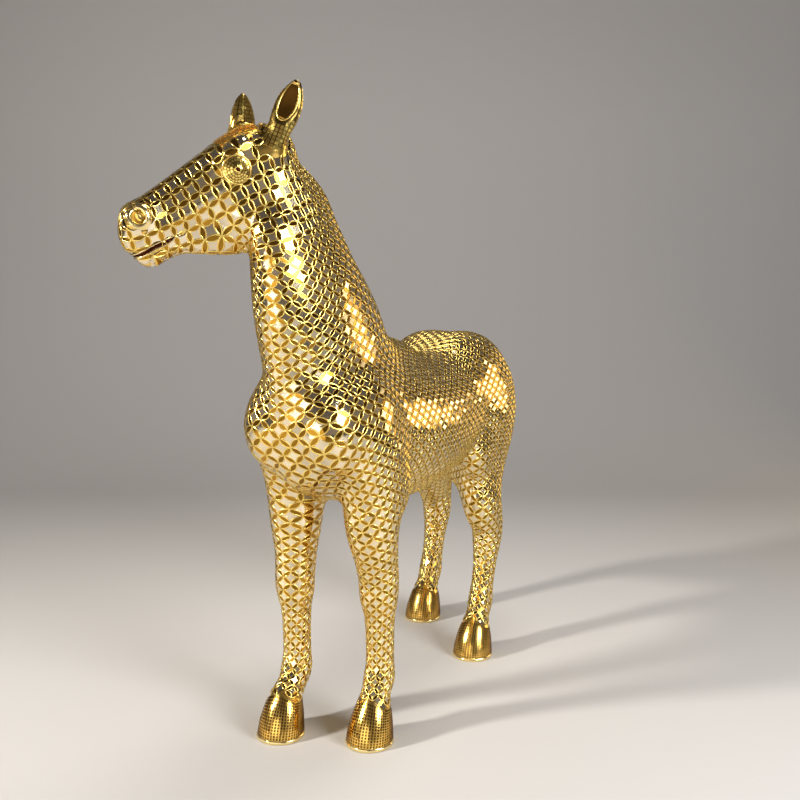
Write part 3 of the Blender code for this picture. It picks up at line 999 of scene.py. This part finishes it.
# %% Eyes
RINGS = (0.0070, 0.0145, 0.0220, 0.0300, 0.0380)
EYE_TILE = 0.0088  # how long each tile of a ring is
PUPIL_RINGS = ((0.003, 0.0026), (0.0055, 0.0008), (0.006, -0.003))  # radius and height
PUPIL_SIDES = 16
eye_brick = brick_tile("eye_brick", 0.78, 0.80, 0.0014)
eye_cells, eye_lines, pupils = [], [], []
head_turn = head_frame.to_3x3()


def ring_hits(side, radius, count):
    """Places and normals on the eye, round a circle that is seen from the side of the head."""
    hits = []
    for cos, sin in circle(count):
        start = (EYE.x + radius * cos, side * 0.17, EYE.z + radius * sin)
        hits.append(hit_with_normal(head_frame, start, (0, -side, 0)))
    return hits


def pupil(side):
    """A small dark dome in the middle of the eye."""
    middle = hit(head_frame, (EYE.x, side * 0.17, EYE.z), (0, -side, 0))
    out = head_turn @ Vector((0, side, 0))
    points = [middle + out * 0.0032]
    for radius, rise in PUPIL_RINGS:
        for cos, sin in circle(PUPIL_SIDES):
            points.append(middle + out * rise + head_turn @ Vector((cos, 0, sin)) * radius)
    faces = [(0, 1 + c, 1 + (c + 1) % PUPIL_SIDES) for c in range(PUPIL_SIDES)]
    for ring in range(len(PUPIL_RINGS) - 1):
        faces += ring_faces(1 + ring * PUPIL_SIDES, 1 + (ring + 1) * PUPIL_SIDES, PUPIL_SIDES)
    faces.append(tuple(range(len(points) - PUPIL_SIDES, len(points))))
    return points, faces


for side in (1, -1):
    for inner, outer in zip(RINGS[:-1], RINGS[1:]):
        count = int(2 * math.pi * (inner + outer) / 2 / EYE_TILE)
        rows = [[place for place, _ in ring_hits(side, radius, count)] for radius in (inner, outer)]
        eye_cells.append(grid_places(rows, closed=True))
    out = head_turn @ Vector((0, side, 0))
    for radius, size in ((RINGS[0], 0.55), (RINGS[-1] + 0.0025, 1.0)):
        hits = ring_hits(side, radius, 48)
        path = [place for place, _ in hits]
        ups = [normal if normal.dot(out) > 0 else -normal for _, normal in hits]
        section = ridge_profile(0.0030 * size, 0.0032 * size)
        eye_lines.append(swept(path, ups, section, True))
    pupils.append(pupil(side))
lay("eye_tiles", many(eye_cells), eye_brick, small_gold, 0.0006, 41)
finished_piece("eye_rings", *gathered(eye_lines), line_gold, "gold_mosaic")
finished_piece("pupils", *gathered(pupils), mouth_dark, "mouth_dark")

# %% [markdown]
# Between the ears, where the forelock would lie, narrow gold strips run down towards the nose.

# %% Forelock
STRIP_ROWS, STRIP_WIDTH = 6, 0.0102
(low_x, high_x), (low_y, high_y) = FORELOCK
columns = int((high_y - low_y) / STRIP_WIDTH)
ys = [low_y + (high_y - low_y) * c / columns for c in range(columns + 1)]
strip_rows = []
for r in range(STRIP_ROWS + 1):
    x = low_x + (high_x - low_x) * r / STRIP_ROWS
    strip_rows.append([hit(head_frame, (x, y, 0.06), (0, 0, -1)) for y in ys])
strips = grid_places(strip_rows, limit=0.040)
strip_tile = brick_tile("strip_tile", 0.98, 0.60, 0.0042)
lay("forelock", strips, strip_tile, line_gold, 0.0004, 43)

# %% [markdown]
# A nostril is a hollow with a thick smooth lip that flares out of the muzzle. It is turned like a
# bowl on a lathe, but its outer rings follow the skin. The shell is pressed in behind it first.

# %% Nostrils
NOSTRIL_SIDES = 36
PRESS_RADIUS, PRESS_DEPTH = 0.030, 0.028  # the dent that is pressed into the shell
NOSTRIL_RINGS = (  # radius, how much of the edge's own height it keeps, height
    (0.0400, 1.0, -0.0015),
    (0.0360, 1.0, 0.0016),
    (0.0310, 0.8, 0.0052),
    (0.0265, 0.5, 0.0074),
    (0.0225, 0.3, 0.0066),
    (0.0198, 0.1, 0.0030),
    (0.0180, 0.0, -0.0040),
    (0.0150, 0.0, -0.0130),
    (0.0080, 0.0, -0.0200),
)


def press_in(middle, axis):
    """Presses the shell inwards along an axis, deepest in the middle of the dent."""
    for vert in shell.data.vertices:
        rel = vert.co - middle
        depth = rel.dot(axis)
        radius = (rel - axis * depth).length
        if abs(depth) < 0.05 and radius < PRESS_RADIUS:
            dent = -PRESS_DEPTH * (1 - (radius / PRESS_RADIUS) ** 3)
            vert.co += axis * (min(depth, dent) - depth)


def nostril(side):
    out = Vector((0.20, side * 0.92, 0.33)).normalized()
    tall = (Vector((0, 0, 1)) - out * out.z).normalized()
    long = tall.cross(out)
    centre = Vector((NOSTRIL.x, side * NOSTRIL.y, NOSTRIL.z))
    inverse = head_frame.inverted()

    def spots(radius):
        ways = [long * cos * 0.88 + tall * sin * 1.08 for cos, sin in circle(NOSTRIL_SIDES)]
        return [centre + way * radius for way in ways]

    def heights(radius):
        places = [hit(head_frame, spot + out * 0.10, -out) for spot in spots(radius)]
        return [(inverse @ place - centre).dot(out) for place in places]

    edge = heights(NOSTRIL_RINGS[1][0])
    brim = heights(NOSTRIL_RINGS[0][0])
    plane = sum(edge) / NOSTRIL_SIDES
    points, faces = [], []
    for ring, (radius, share, height) in enumerate(NOSTRIL_RINGS):
        for c, spot in enumerate(spots(radius)):
            over = share * edge[c] + (1 - share) * plane if ring else brim[c]
            points.append(head_frame @ (spot + out * (over + height)))
    for ring in range(len(NOSTRIL_RINGS) - 1):
        faces += ring_faces(ring * NOSTRIL_SIDES, (ring + 1) * NOSTRIL_SIDES, NOSTRIL_SIDES)
    last = (len(NOSTRIL_RINGS) - 1) * NOSTRIL_SIDES
    points.append(head_frame @ (centre + out * (plane - 0.0220)))
    bottom = len(points) - 1
    faces += [(last + c, last + (c + 1) % NOSTRIL_SIDES, bottom) for c in range(NOSTRIL_SIDES)]
    under = len(points)
    points += [point - (head_turn @ out) * 0.004 for point in points[:NOSTRIL_SIDES]]
    faces += ring_faces(0, under, NOSTRIL_SIDES)
    press_in(head_frame @ (centre + out * plane), head_turn @ out)
    return points, faces


nostrils = gathered([nostril(1), nostril(-1)])
finished_piece("nostrils", *nostrils, rim_gold, "gold_mosaic")

# %% [markdown]
# The mouth is a long shallow slit between two thin gold lips, with its shade painted as a dark ridge.
# One path goes from the corner on one side round the front of the muzzle to the other, and three
# ridges follow it.

# %% Mouth
MUZZLE_MIDDLE, MUZZLE_RADIUS = 0.455, 0.09
LIP_GAP = 0.0080  # from the middle of the slit to the crest of each lip
STEPS = 48
heights = np.array(MOUTH_LINE)
ends = [min(1.0, 0.25 + 0.15 * min(i, STEPS - i)) for i in range(STEPS + 1)]
angles = [math.radians(-149 + 298 * i / STEPS) for i in range(STEPS + 1)]
ways = [Vector((math.cos(angle), math.sin(angle), 0)) for angle in angles]
lip_ups = [head_turn @ way for way in ways]


def mouth_path(rise):
    """A path round the muzzle, this far above the middle of the slit."""
    path = []
    for way, end in zip(ways, ends):
        x = MUZZLE_MIDDLE + MUZZLE_RADIUS * way.x
        z = float(np.interp(x, heights[:, 0], heights[:, 1]))
        path.append(hit(head_frame, (MUZZLE_MIDDLE, 0, z + rise * end), way))
    return path


# The dark ridge along the slit is painted shade.
painted_mouth_shade = swept(mouth_path(0.0), lip_ups, ridge_profile(0.0046, 0.0024), False, ends)
finished_piece("mouth", *painted_mouth_shade, mouth_dark, "mouth_dark")
lips = []
for rise, half_width in ((LIP_GAP, 0.0034), (-LIP_GAP, 0.0036)):
    section = ridge_profile(half_width, 0.0042)
    lips.append(swept(mouth_path(rise), lip_ups, section, False, ends))
finished_piece("lips", *gathered(lips), rim_gold, "gold_mosaic")

# %% [markdown]
# The small tiles of the ears, eyes and forelock are set in darker gilding than the rest, so the
# shell gets a `tone` of its own there.

# %% Darker gilding between the small tiles
shell_points = array_of(shell.data)
at = in_frame(shell_points, head_frame)
tone = np.ones(len(shell_points))
for side in (1, -1):
    tone[np.linalg.norm(at - np.array((EYE.x, side * 0.095, EYE.z)), axis=1) < 0.043] = 0.0
on_strips = (at[:, 0] > low_x) & (at[:, 0] < high_x) & (at[:, 2] > BROW)
tone[on_strips & (at[:, 1] > low_y) & (at[:, 1] < high_y)] = 0.0
for ear in ears:
    local = in_frame(shell_points, ear)
    tone[(np.hypot(local[:, 0], local[:, 1]) < 0.055) & (local[:, 2] > -0.008)] = 0.0
set_field(shell.data, "tone", tone)
print("darker points", int((tone == 0).sum()))

# %% [markdown]
# The room's floor is pale and sweeps up into a grey wall. A pool of light is painted on it round
# the horse: the floor is paler there, and the grey of the far floor and of the wall is painted shade.

# %% Floor and wall
VIEW_TURN = math.radians(26.2)
FLOOR_START, BEND_START, BEND_RADIUS, WALL_TOP = -9.0, 3.2, 3.0, 9.0


def colour_ramp(tree, source, *stops):
    """A colour that follows a number, from one stop's place and colour to the other's."""
    ramp = add_node(tree, "ShaderNodeValToRGB", feeds={"Fac": source})
    for element, (position, colour) in zip(ramp.color_ramp.elements, stops):
        element.position = position
        element.color = (*colour, 1)
    return ramp.outputs["Color"]


view_way = Vector((-math.sin(VIEW_TURN), math.cos(VIEW_TURN), 0))
view_side = Vector((view_way.y, -view_way.x, 0))
sweep = [(FLOOR_START, 0.0), (BEND_START, 0.0)]
for i in range(1, 25):
    bend = math.pi * i / 48
    run = BEND_START + BEND_RADIUS * math.sin(bend)
    sweep.append((run, BEND_RADIUS - BEND_RADIUS * math.cos(bend)))
sweep.append((BEND_START + BEND_RADIUS, WALL_TOP))
stage_points = []
for run, z in sweep:
    for side in (-14, 14):
        stage_points.append(view_way * run + view_side * side + Vector((0, 0, z)))
strips = [(2 * i, 2 * i + 1, 2 * i + 3, 2 * i + 2) for i in range(len(sweep) - 1)]
stage_mesh = new_mesh("floor", stage_points, strips)
stage_mesh.shade_smooth()
floor = new_object("floor", stage_mesh)
pale = bpy.data.materials.new("floor with painted light pool")
pale.use_nodes = True
paint = pale.node_tree
place = add_node(paint, "ShaderNodeTexCoord").outputs["Object"]
away = add_node(paint, "ShaderNodeVectorMath", feeds={0: place}, operation="LENGTH")
limits = {"From Min": 1.2, "From Max": 4.2}
span = add_range(paint, away.outputs["Value"], limits, interpolation_type="SMOOTHSTEP")
# A painted pool of light: paler floor near the horse, painted shade on the far floor and the wall.
painted_light_pool = colour_ramp(paint, span, (0.0, (0.56, 0.545, 0.525)), (1.0, (0.42, 0.408, 0.40)))
shader = paint.nodes["Principled BSDF"].inputs
shader["Roughness"].default_value = 0.7
paint.links.new(painted_light_pool, shader["Base Color"])
stage_mesh.materials.append(pale)
print("floor of", len(stage_mesh.polygons), "faces")

# %% [markdown]
# A large soft light stands at the front left; a weaker one fills from the right, and a broad low
# one stands for light thrown up by the floor in front. A warm one far down the side gives the
# flank a band of gold to reflect. The room is darker overhead than at eye level, so that polished
# metal has both light and shade to reflect.

# %% Air and lights
world = bpy.data.worlds.new("studio")
bpy.context.scene.world = world
world.use_nodes = True
air = world.node_tree
way = add_node(air, "ShaderNodeTexCoord").outputs["Generated"]
up = add_node(air, "ShaderNodeSeparateXYZ", feeds={0: way}).outputs["Z"]
glow = colour_ramp(air, up, (0.05, (0.26, 0.222, 0.19)), (0.55, (0.095, 0.085, 0.085)))
background = air.nodes["Background"].inputs
background["Strength"].default_value = 0.9
air.links.new(glow, background["Color"])
bpy.context.scene.view_settings.view_transform = "Standard"


def area_light(name, place, target, size, power, colour):
    data = bpy.data.lights.new(name, "AREA")
    data.shape = "DISK"
    data.size = size
    data.energy = power
    data.color = colour
    obj = new_object(name, data)
    obj.location = place
    obj.rotation_euler = (Vector(target) - Vector(place)).to_track_quat("-Z", "Y").to_euler()


area_light("key", (-3.6, -4.2, 3.4), (0, -0.2, 1.1), 0.7, 420, (1.0, 0.96, 0.90))
area_light("fill", (4.4, -1.2, 2.6), (0.4, 1.6, 1.0), 2.4, 230, (0.96, 0.97, 1.0))
area_light("bounce", (0.2, -3.9, 0.35), (0, -0.4, 0.80), 3.0, 36, (1.0, 0.96, 0.91))
area_light("side", (3.1, 4.3, 1.5), (0.3, 0.5, 1.1), 1.8, 28, (1.0, 0.82, 0.50))
area_light("top", (0.5, 0.8, 5.0), (0, 0, 1.2), 1.6, 70, (1.0, 0.97, 0.92))

# %% [markdown]
# The smooth shell stands in for the plain solid, and every piece rides on the one body. The small
# tiles that were only patterns for the others are taken away.

# %% Put the pieces on the frame
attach(shell, "root")
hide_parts("horse")
tiles = [petal_tile, star_tile, bent_petal, bent_star, line_tile]
bricks = [hoof_brick, ear_brick, eye_brick, strip_tile]
for helper in [skin] + tiles + bricks:
    bpy.data.objects.remove(helper)
